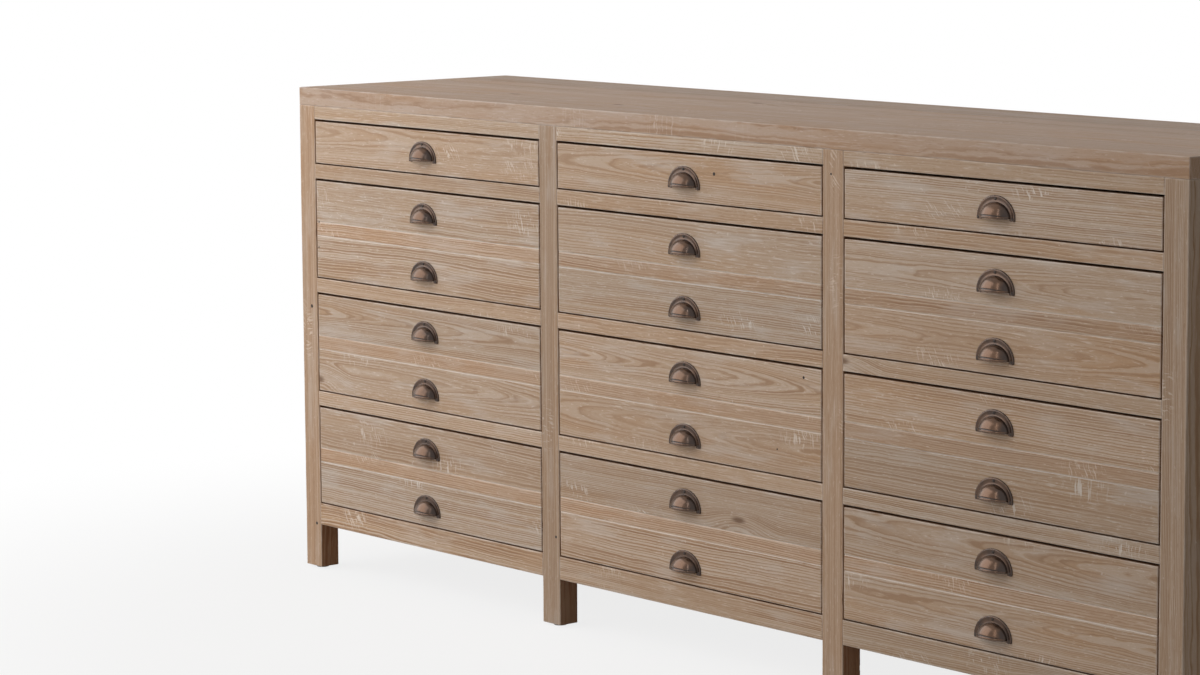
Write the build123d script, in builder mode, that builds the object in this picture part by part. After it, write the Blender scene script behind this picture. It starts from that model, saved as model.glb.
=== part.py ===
from build123d import *
from math import cos, radians, sin
import os

# A long apothecary chest on legs: three bays, each with one shallow and three deep drawers.
# Millimetres. The front faces -Y, +Z is up, and the origin is on the floor under the middle.

# Frame of the chest
opening_width = 670.0
post_width = 47.5
post_depth = 40.0
chest_depth = 495.0
top_thickness = 33.0
top_rail_height = 25.0
divider_height = 27.0
bottom_rail_height = 41.0
leg_height = 82.0
shallow_opening = 84.0
deep_opening = 188.0

# Joinery of the frame
tenon_thickness = 12.0
tenon_shoulder = 5.0
tenon_length_share = 0.4
groove_depth = 8.0

# Side, back and partition panels
side_rail_thickness = 30.0
side_top_rail_height = 58.0
back_rail_thickness = 40.0
back_top_rail_height = 45.0
panel_recess = 6.0
panel_thickness = 14.0
partition_thickness = 15.0

# Runners, guides and stops inside the chest
runner_width = 20.0
guide_rise = 15.0
running_clearance = 0.3
stop_width = 30.0
stop_height_share = 0.6
stop_place_share = 0.3

# Drawers
drawer_gap = 2.0
front_thickness = 22.0
front_lap = 6.0
side_thickness = 12.0
side_drop = 6.0
back_thickness = 12.0
back_housing = 4.0
back_inset = 8.0
back_space = 20.0
bottom_thickness = 6.0
bottom_groove = 5.0
bottom_rise = 8.0
tail_root_share = 0.40
tail_tip_share = 0.58
shallow_board_shares = [1.0]
deep_board_shares = [0.43, 0.14, 0.43]

# Cup pulls and the tapered pins that hold them
flange_width = 80.0
flange_rise = 34.0
flange_thickness = 1.8
ear_drop = 4.0
ear_width = 12.0
bowl_width = 64.0
bowl_round = 25.0
bowl_set_back = 5.0
bowl_wall = 1.6
bowl_end_angle = 10
upper_pull_drop = 43.0
lower_pull_rise = 40.0
pin_head_radius = 2.5
pin_tip_radius = 1.1
pin_crown = 0.8
pin_depth_share = 0.65
pin_clearance = 0.1

# Screws under the top, and the glides under the legs
screw_head_radius = 4.5
screw_tip_radius = 1.6
screw_bite_share = 0.6
screw_place_share = 0.25
screw_clearance = 0.1
glide_radius = 12.0
glide_height = 4.0
glide_edge = 1.0
glide_stub_radius = 4.0
glide_stub_height = 14.0
glide_clearance = 0.1

# Names and patterns
bay_names = ["left", "middle", "right"]
post_names = ["left", "mid_left", "mid_right", "right"]
row_names = ["top", "second", "third", "bottom"]
row_openings = [shallow_opening, deep_opening, deep_opening, deep_opening]
row_board_shares = [shallow_board_shares, deep_board_shares, deep_board_shares, deep_board_shares]
row_tail_counts = [2, 4, 4, 4]
top_plank_count = 4
side_board_count = 5
back_board_count = 5

# Levels, from the floor up
leg_foot = glide_height
bottom_rail_foot = leg_foot + leg_height
bottom_rail_top = bottom_rail_foot + bottom_rail_height
dividers_height = divider_height * (len(row_names) - 1)
post_top = bottom_rail_top + sum(row_openings) + dividers_height + top_rail_height
chest_top = post_top + top_thickness
row_spans = []
level = post_top - top_rail_height
for opening in row_openings:
    row_spans.append((level - opening, level))
    level -= opening + divider_height

# Lines from the front to the back
bowl_reach = bowl_round - bowl_set_back
front_y = (bowl_reach - chest_depth) / 2
back_y = front_y + chest_depth
front_post_y = (front_y, front_y + post_depth)
back_post_y = (back_y - post_depth, back_y)
between_posts_y = (front_post_y[1], back_post_y[0])
back_rail_y = (back_y - back_rail_thickness, back_y)
runner_y = (front_post_y[1], back_rail_y[0])
drawer_y = (front_y, back_rail_y[0] - back_space)
panel_offsets = (panel_recess, panel_recess + panel_thickness)
back_panel_y = (back_y - panel_offsets[1], back_y - panel_offsets[0])

# Lines from the left to the right
bay_pitch = opening_width + post_width
chest_width = bay_pitch * len(bay_names) + post_width
left_x = -chest_width / 2
right_x = chest_width / 2
post_spans = []
for index in range(len(post_names)):
    post_left = left_x + index * bay_pitch
    post_spans.append((post_left, post_left + post_width))
bay_spans = []
for index in range(len(bay_names)):
    bay_spans.append((post_spans[index][1], post_spans[index + 1][0]))
left_panel_x = (left_x + panel_offsets[0], left_x + panel_offsets[1])
right_panel_x = (right_x - panel_offsets[1], right_x - panel_offsets[0])
rail_tenon_length = post_width * tenon_length_share
side_tenon_length = post_depth * tenon_length_share


def middle(span):
    return (span[0] + span[1]) / 2


def grown(span, amount):
    return (span[0] - amount, span[1] + amount)


def around(centre, width):
    return (centre - width / 2, centre + width / 2)


def divided(span, shares):
    """The spans that shares of one span take up, from its low end to its high end."""
    spans = []
    low = span[0]
    for share in shares:
        high = low + (span[1] - span[0]) * share / sum(shares)
        spans.append((low, high))
        low = high
    return spans


def block(x_span, y_span, z_span):
    """A rectangular block that fills three spans, in the part being built."""
    with Locations((x_span[0], y_span[0], z_span[0])):
        Box(
            x_span[1] - x_span[0],
            y_span[1] - y_span[0],
            z_span[1] - z_span[0],
            align=Align.MIN,
        )


def reaches(piece, spans):
    """Whether the box round a piece reaches into the space that three spans make."""
    box = piece.bounding_box()
    for low, high, span in zip(box.min, box.max, spans):
        if high <= span[0] or low >= span[1]:
            return False
    return True


def board(x_span, y_span, z_span, let_in=()):
    """One piece of timber, less whatever is let into it."""
    cutters = [piece for piece in let_in if reaches(piece, (x_span, y_span, z_span))]
    with BuildPart() as timber:
        block(x_span, y_span, z_span)
        if cutters:
            add(cutters, mode=Mode.SUBTRACT)
    return timber.part


def placed(shape, x, y, z):
    return shape.moved(Location((x, y, z)))


def save(name, pieces):
    """Write one node, whose pieces stay separate solids."""
    for number, piece in enumerate(pieces):
        piece.label = f"{name}_{number + 1}"
    node = Compound(label=name, children=pieces)
    export_step(node, f"parts/{name}.step")


def across_rail(x_span, y_span, z_span, tenon_y, tenon_z):
    """A rail between two posts, with a tenon on each end."""
    with BuildPart() as rail:
        block(x_span, y_span, z_span)
        block(grown(x_span, rail_tenon_length), tenon_y, tenon_z)
    return rail.part


def side_rail(x_span, z_span, tenon_x, tenon_z):
    """A rail from a front post to a back post at one end of the chest."""
    with BuildPart() as rail:
        block(x_span, between_posts_y, z_span)
        block(tenon_x, grown(between_posts_y, side_tenon_length), tenon_z)
    return rail.part


def grooved(rail, panels):
    """A rail less the edges of the boards that stand in its groove."""
    with BuildPart() as cut_rail:
        add(rail)
        add(panels, mode=Mode.SUBTRACT)
    return cut_rail.part


def make_screw(length, clearance):
    """A tapered wood screw standing on its head at the origin."""
    with BuildPart() as screw:
        Cone(
            screw_head_radius + clearance,
            screw_tip_radius + clearance,
            length + clearance,
            align=(Align.CENTER, Align.CENTER, Align.MIN),
        )
    return screw.part


def make_glide(clearance):
    """A foot glide: a disc with an eased lower edge, and a stub that is driven into the leg."""
    with BuildPart() as glide:
        with BuildSketch(Plane.XZ):
            with BuildLine():
                Polyline(
                    (0, 0),
                    (glide_radius - glide_edge, 0),
                    (glide_radius, glide_edge),
                    (glide_radius, glide_height),
                    (glide_stub_radius + clearance, glide_height),
                    (glide_stub_radius + clearance, glide_height + glide_stub_height + clearance),
                    (0, glide_height + glide_stub_height + clearance),
                    close=True,
                )
            make_face()
        revolve(axis=Axis.Z)
    return glide.part


def make_pin(clearance):
    """A tapered pin along Y: its crown stands proud of the flange, its tip is in the wood."""
    depth = front_thickness * pin_depth_share + clearance
    with BuildPart() as pin:
        with BuildSketch(Plane.XY):
            with BuildLine():
                Polyline(
                    (0, -flange_thickness - pin_crown),
                    (pin_head_radius + clearance, -flange_thickness),
                    (pin_tip_radius + clearance, depth),
                    (0, depth),
                    close=True,
                )
            make_face()
        revolve(axis=Axis.Y)
    return pin.part


def pin_places():
    """Where the pins stand on a pull: at the top of the flange and on its two ears."""
    ear_x = (flange_width + bowl_width) / 4
    top_z = (flange_rise + bowl_round) / 2
    return [(0, top_z), (-ear_x, 0), (ear_x, 0)]


def bowl_section(wall):
    """The flat-ended half ellipse that is swept round an axis to make the bowl, less a wall."""
    half = bowl_width / 2 - wall
    rise = bowl_round - wall
    end_x = half * cos(radians(bowl_end_angle))
    end_z = rise * sin(radians(bowl_end_angle))
    arch_angle = 180 - 2 * bowl_end_angle
    with BuildSketch(Plane.XZ) as section:
        with BuildLine():
            EllipticalCenterArc((0, 0), half, rise, bowl_end_angle, arc_size=arch_angle)
            Polyline((-end_x, end_z), (-end_x, 0), (end_x, 0), (end_x, end_z))
        make_face()
    return section.sketch


def flange_section():
    """The arched flange with its two ears, open behind the bowl."""
    half = flange_width / 2
    ear = half - ear_width
    with BuildSketch(Plane.XZ) as section:
        with BuildLine():
            EllipticalCenterArc((0, 0), half, flange_rise, 0, arc_size=180)
            Polyline(
                (-half, 0),
                (-half, -ear_drop),
                (-ear, -ear_drop),
                (-ear, 0),
                (ear, 0),
                (ear, -ear_drop),
                (half, -ear_drop),
                (half, 0),
            )
        make_face()
        add(bowl_section(bowl_wall), mode=Mode.SUBTRACT)
    return section.sketch


def make_cup():
    """A cup pull with its rim along X at the origin, its flange on the XZ plane, its bowl to -Y."""
    pin_hole = make_pin(pin_clearance)
    with BuildSketch(Plane.XZ) as bowl_ring:
        add(bowl_section(0))
        add(bowl_section(bowl_wall), mode=Mode.SUBTRACT)
    with BuildPart() as bowl:
        revolve(bowl_ring.sketch, axis=Axis.X, revolution_arc=90)
        split(bisect_by=Plane.XZ.offset(bowl_set_back), keep=Keep.TOP)
    with BuildPart() as cup:
        extrude(flange_section(), amount=flange_thickness)
        add(placed(bowl.part, 0, bowl_set_back, 0))
        for x, z in pin_places():
            add(placed(pin_hole, x, 0, z), mode=Mode.SUBTRACT)
    return cup.part


def make_drawer_side(x_span, z_span, tail_count, bottom, back):
    """A drawer side, with tails into the front, a groove for the bottom and a housing for the back."""
    tail_pitch = (z_span[1] - z_span[0]) / tail_count
    root_half = tail_pitch * tail_root_share / 2
    tip_half = tail_pitch * tail_tip_share / 2
    root_y = front_y + front_thickness
    tip_y = front_y + front_lap
    with BuildPart() as side:
        block(x_span, (root_y, drawer_y[1]), z_span)
        with BuildSketch(Plane.YZ.offset(x_span[0])):
            for number in range(tail_count):
                z = z_span[0] + (number + 0.5) * tail_pitch
                with BuildLine():
                    Polyline(
                        (root_y, z - root_half),
                        (tip_y, z - tip_half),
                        (tip_y, z + tip_half),
                        (root_y, z + root_half),
                        close=True,
                    )
                make_face()
        extrude(amount=side_thickness)
        add(bottom, mode=Mode.SUBTRACT)
        add(back, mode=Mode.SUBTRACT)
    return side.part


def pull_levels(row):
    """The heights of the middles of the pulls on a drawer of this row."""
    low, high = row_spans[row]
    if len(row_board_shares[row]) == 1:
        return [(low + high) / 2]
    return [high - upper_pull_drop, low + lower_pull_rise]


def make_drawer(row, cup, pin, pin_hole):
    """One drawer of a row, in the first bay: its front boards, its box and its pulls."""
    x_span = grown(bay_spans[0], -drawer_gap)
    z_span = grown(row_spans[row], -drawer_gap)
    side_z = (z_span[0], z_span[1] - side_drop)
    inner_x = grown(x_span, -side_thickness)
    bottom_z = (z_span[0] + bottom_rise, z_span[0] + bottom_rise + bottom_thickness)
    bottom_y = (front_y + front_thickness - bottom_groove, drawer_y[1])
    back_y_span = (drawer_y[1] - back_inset - back_thickness, drawer_y[1] - back_inset)
    bottom = board(grown(inner_x, bottom_groove), bottom_y, bottom_z)
    back = board(grown(inner_x, back_housing), back_y_span, (bottom_z[1], side_z[1]))
    tails = row_tail_counts[row]
    left = make_drawer_side((x_span[0], inner_x[0]), side_z, tails, bottom, back)
    right = make_drawer_side((inner_x[1], x_span[1]), side_z, tails, bottom, back)

    cups = []
    pins = []
    pin_holes = []
    for pull_level in pull_levels(row):
        rim_z = pull_level - (flange_rise - ear_drop) / 2
        cups.append(placed(cup, middle(x_span), front_y, rim_z))
        for x, z in pin_places():
            pins.append(placed(pin, middle(x_span) + x, front_y, rim_z + z))
            pin_holes.append(placed(pin_hole, middle(x_span) + x, front_y, rim_z + z))

    front_y_span = (front_y, front_y + front_thickness)
    front = []
    for board_z in divided(z_span, row_board_shares[row]):
        front.append(board(x_span, front_y_span, board_z, [left, right, bottom] + pin_holes))
    return {"front": front, "box": [left, right, back, bottom], "pulls": cups + pins}


def make_front_rails(screw_holes):
    """The rails between the front posts: under the top, between the drawers, and below them."""
    tenon_y = around(middle(front_post_y), tenon_thickness)
    top_rails = []
    divider_rails = []
    bottom_rails = []
    for x_span in bay_spans:
        top_z = (post_top - top_rail_height, post_top)
        rail = across_rail(x_span, front_post_y, top_z, tenon_y, grown(top_z, -tenon_shoulder))
        top_rails.append(grooved(rail, screw_holes))
        for row in range(len(row_names) - 1):
            divider_z = (row_spans[row][0] - divider_height, row_spans[row][0])
            tenon_z = grown(divider_z, -tenon_shoulder)
            divider_rails.append(across_rail(x_span, front_post_y, divider_z, tenon_y, tenon_z))
        bottom_z = (bottom_rail_foot, bottom_rail_top)
        tenon_z = grown(bottom_z, -tenon_shoulder)
        bottom_rails.append(across_rail(x_span, front_post_y, bottom_z, tenon_y, tenon_z))
    return top_rails, divider_rails, bottom_rails


def make_back(screw_holes):
    """The rails and the upright boards between the back posts."""
    low_z = (bottom_rail_foot, bottom_rail_top)
    high_z = (post_top - back_top_rail_height, post_top)
    boards_z = grown((low_z[1], high_z[0]), groove_depth)
    low_tenon_z = (low_z[0] + tenon_shoulder, boards_z[0] - tenon_shoulder)
    high_tenon_z = (boards_z[1] + tenon_shoulder, high_z[1] - tenon_shoulder)
    rails = []
    boards = []
    for x_span in bay_spans:
        bay_boards = []
        for board_x in divided(grown(x_span, groove_depth), [1.0] * back_board_count):
            bay_boards.append(board(board_x, back_panel_y, boards_z))
        low_rail = across_rail(x_span, back_rail_y, low_z, back_panel_y, low_tenon_z)
        high_rail = across_rail(x_span, back_rail_y, high_z, back_panel_y, high_tenon_z)
        rails.append(grooved(low_rail, bay_boards))
        rails.append(grooved(high_rail, bay_boards + screw_holes))
        boards += bay_boards
    return rails, boards


def make_end(panel_x, rail_x):
    """The two rails and the lengthwise boards at one end of the chest."""
    low_z = (bottom_rail_foot, bottom_rail_top)
    high_z = (post_top - side_top_rail_height, post_top)
    boards_z = grown((low_z[1], high_z[0]), groove_depth)
    low_tenon_z = (low_z[0] + tenon_shoulder, boards_z[0] - tenon_shoulder)
    high_tenon_z = (boards_z[1] + tenon_shoulder, high_z[1] - tenon_shoulder)
    boards = []
    for board_z in divided(boards_z, [1.0] * side_board_count):
        boards.append(board(panel_x, grown(between_posts_y, groove_depth), board_z))
    low_rail = side_rail(rail_x, low_z, panel_x, low_tenon_z)
    high_rail = side_rail(rail_x, high_z, panel_x, high_tenon_z)
    return [grooved(low_rail, boards), grooved(high_rail, boards)], boards


def make_inner_works(end_rails):
    """Runners, guides, kickers and stops, for each drawer of each bay."""
    runners = []
    guides = []
    kickers = []
    stops = []
    kicker_z = (post_top - top_rail_height, post_top)
    stop_y = (front_y + front_thickness + running_clearance, front_post_y[1])
    stop_reach = opening_width * stop_place_share
    for bay, x_span in enumerate(bay_spans):
        runner_spans = [
            (x_span[0], x_span[0] + runner_width),
            (x_span[1] - runner_width, x_span[1]),
        ]
        walls = bay_walls(bay)
        guide_spans = [(walls[0], x_span[0]), (x_span[1], walls[1])]
        for runner_x in runner_spans:
            kickers.append(board(runner_x, runner_y, kicker_z))
        for low, _ in row_spans:
            runner_z = (low - divider_height, low + drawer_gap - running_clearance)
            guide_z = (runner_z[0], runner_z[1] + guide_rise)
            stop_z = (low, low + drawer_gap + bottom_rise * stop_height_share)
            for runner_x, guide_x in zip(runner_spans, guide_spans):
                runners.append(board(runner_x, runner_y, runner_z))
                guides.append(board(guide_x, between_posts_y, guide_z, end_rails))
            for side in (-1, 1):
                stop_x = around(middle(x_span) + side * stop_reach, stop_width)
                stops.append(board(stop_x, stop_y, stop_z))
    return runners, guides, kickers, stops


def bay_walls(bay):
    """The two panel faces that look into a bay."""
    left_wall = middle(post_spans[bay]) + partition_thickness / 2
    right_wall = middle(post_spans[bay + 1]) - partition_thickness / 2
    if bay == 0:
        left_wall = left_panel_x[1]
    if bay == len(bay_names) - 1:
        right_wall = right_panel_x[0]
    return left_wall, right_wall


def make_partitions():
    """The upright panels behind the inner posts."""
    partitions = []
    for post_span in post_spans[1:-1]:
        panel_x = around(middle(post_span), partition_thickness)
        panel_y = grown(between_posts_y, groove_depth)
        partitions.append(board(panel_x, panel_y, (bottom_rail_foot, post_top)))
    return partitions


def screw_places():
    """Where the top is screwed down: twice to each top rail, at the front and at the back."""
    back_screw_y = middle((back_rail_y[0], back_panel_y[0]))
    places = []
    for x_span in bay_spans:
        for side in (-1, 1):
            x = middle(x_span) + side * opening_width * screw_place_share
            places.append((x, middle(front_post_y), top_rail_height))
            places.append((x, back_screw_y, back_top_rail_height))
    return places


def make_screws(clearance):
    screws = []
    for x, y, rail_height in screw_places():
        length = rail_height + top_thickness * screw_bite_share
        screws.append(placed(make_screw(length, clearance), x, y, post_top - rail_height))
    return screws


def make_top(screw_holes):
    """The planks of the top, which run the length of the chest."""
    planks = []
    for plank_y in divided((front_y, back_y), [1.0] * top_plank_count):
        planks.append(board((left_x, right_x), plank_y, (post_top, chest_top), screw_holes))
    return planks


def main():
    os.makedirs("parts", exist_ok=True)

    screw_holes = make_screws(screw_clearance)
    top_rails, divider_rails, bottom_rails = make_front_rails(screw_holes)
    back_rails, back_boards = make_back(screw_holes)
    left_rail_x = (left_x, left_x + side_rail_thickness)
    right_rail_x = (right_x - side_rail_thickness, right_x)
    left_rails, left_boards = make_end(left_panel_x, left_rail_x)
    right_rails, right_boards = make_end(right_panel_x, right_rail_x)
    partitions = make_partitions()
    runners, guides, kickers, stops = make_inner_works(left_rails + right_rails)

    # Legs: each post runs from its glide to the top, and takes the ends of what it carries
    front_joints = top_rails + divider_rails + bottom_rails
    end_joints = left_rails + right_rails + left_boards + right_boards
    back_joints = back_rails + back_boards
    glide_hole = make_glide(glide_clearance)
    glides = []
    for name, x_span in zip(post_names, post_spans):
        for row, y_span in (("front", front_post_y), ("back", back_post_y)):
            joints = partitions + end_joints
            joints = joints + (front_joints if row == "front" else back_joints)
            glides.append(placed(make_glide(0), middle(x_span), middle(y_span), 0))
            hole = placed(glide_hole, middle(x_span), middle(y_span), 0)
            post = board(x_span, y_span, (leg_foot, post_top), joints + [hole])
            save(f"{row}_post_{name}", [post])

    save("top_planks", make_top(screw_holes))
    save("top_screws", make_screws(0))
    save("foot_glides", glides)
    save("top_rails", top_rails)
    save("divider_rails", divider_rails)
    save("bottom_rails", bottom_rails)
    save("back_rails", back_rails)
    save("back_boards", back_boards)
    save("side_rails", left_rails + right_rails)
    save("left_side_boards", left_boards)
    save("right_side_boards", right_boards)
    save("partitions", partitions)
    save("drawer_runners", runners)
    save("drawer_guides", guides)
    save("top_kickers", kickers)
    save("drawer_stops", stops)

    # Drawers: each row's drawer is made once and stands in every bay
    cup = make_cup()
    pin = make_pin(0)
    pin_hole = make_pin(pin_clearance)
    for row, row_name in enumerate(row_names):
        drawer = make_drawer(row, cup, pin, pin_hole)
        for bay, bay_name in enumerate(bay_names):
            for kind, pieces in drawer.items():
                copies = [placed(piece, bay * bay_pitch, 0, 0) for piece in pieces]
                save(f"drawer_{kind}_{bay_name}_{row_name}", copies)


main()
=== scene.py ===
import itertools
import math
import random

import bmesh
import bpy
from mathutils import Matrix, Vector, noise


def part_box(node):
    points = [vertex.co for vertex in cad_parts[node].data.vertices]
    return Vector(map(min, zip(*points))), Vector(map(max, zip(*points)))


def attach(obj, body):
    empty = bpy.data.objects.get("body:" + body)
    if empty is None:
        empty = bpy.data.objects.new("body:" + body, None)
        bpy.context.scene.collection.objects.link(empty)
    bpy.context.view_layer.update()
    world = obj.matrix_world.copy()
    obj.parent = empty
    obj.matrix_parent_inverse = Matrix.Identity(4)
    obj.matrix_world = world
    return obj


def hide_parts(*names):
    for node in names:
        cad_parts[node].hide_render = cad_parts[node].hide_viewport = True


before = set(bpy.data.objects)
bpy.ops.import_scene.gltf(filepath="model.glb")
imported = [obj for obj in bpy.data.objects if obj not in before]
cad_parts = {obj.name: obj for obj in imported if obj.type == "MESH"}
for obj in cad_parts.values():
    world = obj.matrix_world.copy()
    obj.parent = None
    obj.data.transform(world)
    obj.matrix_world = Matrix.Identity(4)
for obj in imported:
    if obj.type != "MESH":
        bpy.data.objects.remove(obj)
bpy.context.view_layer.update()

# The looks of a limed pine apothecary chest with bronze cup pulls.
# Metres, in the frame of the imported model: the front faces -Y and +Z is up.

MM = 0.001
BAY_NAMES = ["left", "middle", "right"]
POST_NAMES = ["left", "mid_left", "mid_right", "right"]
ROW_NAMES = ["top", "second", "third", "bottom"]

# Sides of a board, as an axis and an end
LEFT, RIGHT, FRONT, BACK, UNDER, OVER = (0, 0), (0, 1), (1, 0), (1, 1), (2, 0), (2, 1)

# Drawers whose boards are cut from near the middle of the tree
FLAME_DRAWERS = ("left_top", "left_third", "middle_top", "middle_third", "right_second", "right_bottom")

# Tones of the boards and of their inner faces (unlimed wood with painted shade), as factors of red, green
# and blue
PLAIN_TONE = (1, 1, 1)
FRONT_TONE = (1, 1.01, 1.03)
TOP_TONE = (0.955, 0.965, 1.03)
STRIP_TONE = (0.985, 0.935, 0.905)
POST_TONE = (0.88, 0.84, 0.81)
# Painted shade: the inner tone darkens faces that are not shown, such as those in the gaps between drawers
UNLIMED_AND_SHADED_TONE = (0.62, 0.48, 0.38)

# Edges of the boards: their rounding, and the band that wears pale
EDGE_ROUND = 1.3 * MM
EDGE_BAND = 4.5 * MM
# How worn a glued joint counts, and how near its points lie
JOINT_WEAR = 2
JOINT_BAND = 0.5 * EDGE_ROUND
# How deep an edge is broken, in shares of its rounding, and its ripples in a metre
EDGE_BREAK = 0.34
RIPPLE_BREAK = 0.22
RIPPLE_SCALE = 22
FINE_RIPPLE = 0.5
FINE_RIPPLE_SCALE = 90
RIPPLE_SHIFT = (0, 50)
# Chips in the edges: half their length and their depth in mm, how near an edge they hold, how many
CHIP_REACH = (4, 11)
CHIP_DEPTH = (0.8, 2.2)
CHIP_BAND = 0.5 * MM
FEW_CHIPS = 2
POST_CHIPS = 4
TOP_CHIPS = 5
# How far in from a shown side the painted shade and unlimed tone start, and how far on they come in full
SHADE_START = 0.8 * MM
SHADE_BAND = 2.4 * MM
# How much smaller than its CAD boards a drawer front is at its ends, foot and head
END_INSET = Vector((1 * MM, 0, 0))
FOOT_INSET = Vector((0, 0, 0.5 * MM))
HEAD_INSET = Vector((0, 0, 1.9 * MM))

# Cross-lines of a board's mesh: their usual and least distances, and a chip's room from an end
LONG_STEP = 60 * MM
ACROSS_STEP = 45 * MM
LEAST_STEP = 0.3 * EDGE_ROUND
CHIP_ROOM = 3 * EDGE_ROUND
# Angles in degrees above which an edge is drawn sharp
WOOD_SHARP = 50
METAL_SHARP = 60
# Kinds and fields of mesh attributes, by the numbers in a value
ATTRIBUTE_KINDS = {1: ("FLOAT", "value"), 3: ("FLOAT_VECTOR", "vector"), 4: ("FLOAT_COLOR", "color")}
# Points of CAD solids this near are joined, and faces within these degrees are one
JOIN_DISTANCE = 0.001 * MM
FLAT_DEGREES = 1

# Where the middle of the tree lies beside and behind a board, and how it leans along it
FLAME_SIDE = 22 * MM
FLAME_DEPTH = (7 * MM, 20 * MM)
FLAME_LEAN = (0.012, 0.03)
STRAIGHT_SIDE = (110 * MM, 260 * MM)
STRAIGHT_DEPTH = (20 * MM, 80 * MM)
STRAIGHT_LEAN = (-0.008, 0.008)
# How boards differ: place in an endless grain, value, warmth, figure, and width of rings
START_RANGE = (0, 40)
VALUE_RANGE = (0.94, 1.06)
WARMTH_RANGE = (-0.03, 0.03)
FLAME_FIGURE = (0.5, 0.8)
STRAIGHT_FIGURE = (0.55, 1.15)
GROWTH_RANGE = (0.75, 1.25)

# Colours, as they look on a screen
MID_WOOD = (187, 160, 135)
EARLY_WOOD = (205, 186, 168)
LATE_WOOD = (156, 121, 91)
TAN_PATCH = (186, 151, 118)
HAZE = (208, 195, 183)
LIME = (231, 220, 208)
KNOT_BROWN = (118, 88, 66)
BRONZE_DARK = (62, 51, 46)
BRONZE_COPPER = (99, 73, 55)
IRON_COLOURS = ((38, 30, 26), (60, 47, 39))
STEEL_COLOURS = ((120, 118, 114), (96, 94, 90))
PLASTIC_COLOURS = ((38, 36, 34), (52, 49, 46))
FLOOR_COLOURS = ((206, 206, 205), (212, 212, 211))

# Patterns in the pine: repeats in a metre along and across the grain, and detail
SWAY = (1.5, 6, 1)
WAVER = (14, 60, 2)
FIBRE = (24, 460, 3)
DASH = (75, 560, 2)
PATCH = (3, 13, 3)
BLOTCH = (2.4, 15, 3)
CLOUD = (7, 34, 5)
SPECK = (95, 170, 1)
WORN = (24, 60, 2)
FILL = (9, 60, 2)
BEND = (26, 60, 3)
BREAK = (90, 90, 2)

# Ramps on those patterns: where each starts and ends, and what it gives there if not 0 and 1
FIGURE_PATCHES = (0.34, 0.56, 0.35, 1)
TAN_BLOTCHES = (0.46, 0.7, 0, 0.75)
DARK_DASHES = (0.4, 0.26, 0, 0.45)
LIMED_FIBRES = (0.54, 0.74)
LIMED_PATCHES = (0.62, 0.36, 0.15, 1)
LIMED_DASHES = (0.62, 0.76)
HAZY_CLOUDS = (0.5, 0.72)
HAZY_FIBRES = (0.3, 0.62, 0.35, 1)
SPECKS = (0.7, 0.76)
SPECKED_CLOUDS = (0.44, 0.6)
WORN_PLACES = (0.42, 0.62)
FILLED_PLACES = (0.3, 0.52, 0.35, 0.95)
FILLED_WEAR = (0.75, 1.15)
FIBRE_ROUGHNESS = (0.3, 0.7, 0.52, 0.7)

# How far each layer covers what is under it
EARLY_COVER = 0.8
LATE_COVER = 0.85
HAZE_COVER = 0.95
MARK_COVER = 1.2
SPECK_COVER = 0.5
WORN_COVER = 0.62
# How fast the lime on worn edges fades
RUB_POWER = 2.2
# Heights of late wood and of fibres in the brushed surface
LATE_HEIGHT = 0.6
FIBRE_HEIGHT = 0.7

# Growth rings: their distance, how far they sway, and how uneven they are
RING_SPACING = 3.7 * MM
RING_SWAY = 20 * MM
RING_WAVER = 4 * MM
RING_DRIFT = 1.5
DRIFT_SCALE = 70
# Where early and late wood rise and fall, in shares of the way from ring to ring
EARLY_RISE = (0, 0.16)
EARLY_FALL = (0.28, 0.52)
LATE_RISE = (0.56, 0.82)
LATE_FALL = (0.88, 0.99)

# Knots: cells in a metre, the draw above which a cell has one, its stain, and its push on the rings
KNOT_CELLS = (1.7, 4.5)
KNOT_DRAW = 0.9
KNOT_STAIN = (0.01, 0.04, 0.85, 0)
KNOT_PUSH = (0.02, 0.2, 0.02, 0)

# Groups of lime scratches: cells in a metre, the draw above which a cell has one, and its fade
SCRATCH_CELLS = (5, 14)
SCRATCH_DRAW = 0.62
SCRATCH_FADE = (0.08, 0.34, 1, 0)
# Strokes of a group: in a metre, their lean by the cell's second draw, bend, lines and breaks
STROKES_ALONG = 290
STROKES_ACROSS = 30
STROKE_LEAN = 340
UPRIGHT_DRAW = 0.15
STROKE_BEND = 3.4
STROKE_LINES = (0.53, 0.64)
STROKE_BREAKS = (0.4, 0.54)

# Kinds of pine: share of lime in the grain, and strength of the rings
LIMED_PINE = (0.6, 1)
TOP_PINE = (0.4, 0.75)
PLAIN_PINE = (0.1, 0.85)

# Patterns in bronze, in small parts and in the floor: repeats in a metre, and detail
BRONZE_CLOUD = (70, 3)
BRONZE_SPECK = (900, 2)
MOTTLE = (400, 3)
FLOOR_MOTTLE = (1.2, 3)
# How far the clouds change the bronze's wear, and ramps as in the pine
CLOUD_WEAR = 0.9
RUBBED_WEAR = (0.25, 0.95)
RUBBED_SPECKS = (0.25, 0.55, 0.7, 1)
BRONZE_ROUGHNESS = (0.3, 0.7, 0.18, 0.26)
MOTTLE_RAMP = (0.35, 0.65)

# Cup pulls: the flange with its ears, and the bowl with a bead along its lip
EAR_DROP = 4 * MM
EAR_INNER = 30 * MM
FLANGE_HEIGHT = 1.8 * MM
FLANGE_OVERLAP = MM
BOWL_HALF = 31.3 * MM
BOWL_RISE = 24.5 * MM
BOWL_WALL = 1.6 * MM
RIM_BEAD = 1.9 * MM
BEAD_PROUD = 0.7 * MM
BEAD_SIDES = 8
# Steps round a pull's arch, and the degrees above the ears where bowl and bead start and end
ARCH_STEPS = 36
BOWL_START = 4
BEAD_START = 3
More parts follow.
